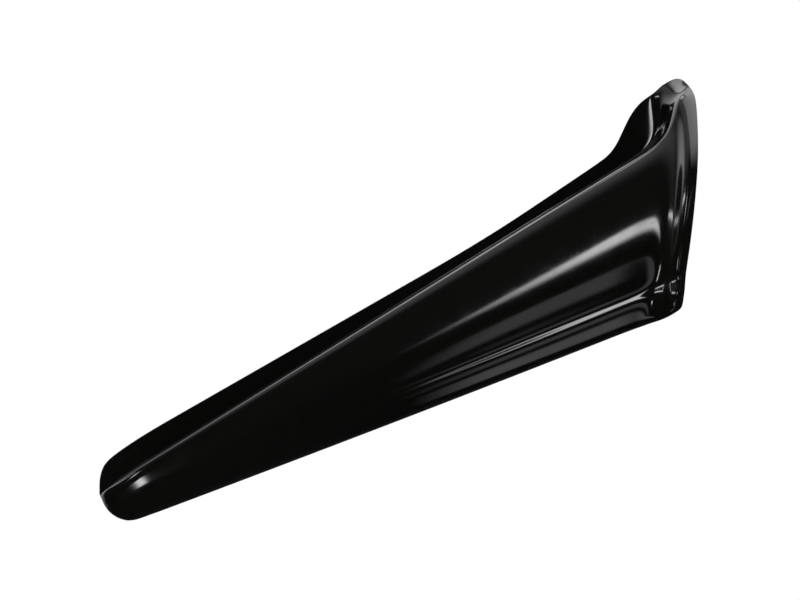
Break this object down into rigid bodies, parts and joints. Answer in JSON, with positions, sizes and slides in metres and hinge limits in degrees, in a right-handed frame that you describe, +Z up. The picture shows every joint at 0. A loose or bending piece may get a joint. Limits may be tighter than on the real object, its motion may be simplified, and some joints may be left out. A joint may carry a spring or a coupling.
{
  "type": "rocker panel",
  "caption": "Long wedge-shaped vehicle rocker panel, vacuum-formed in gloss black plastic, open at the back, with a flat mounting flange and a flared wide end.",
  "frame": {"origin": "rear face of the mounting flange, at half the panel's length and 5 mm below the level part of the flange edge", "axes": "+X from the nose to the flared wide end, +Y towards the vehicle, +Z up as fitted"},
  "size_m": [0.9836, 0.122, 0.2785],
  "materials": {
    "gloss_black_abs": "gloss"
  },
  "bodies": {
    "root": {"panel": "gloss_black_abs"}
  },
  "joints": []
}
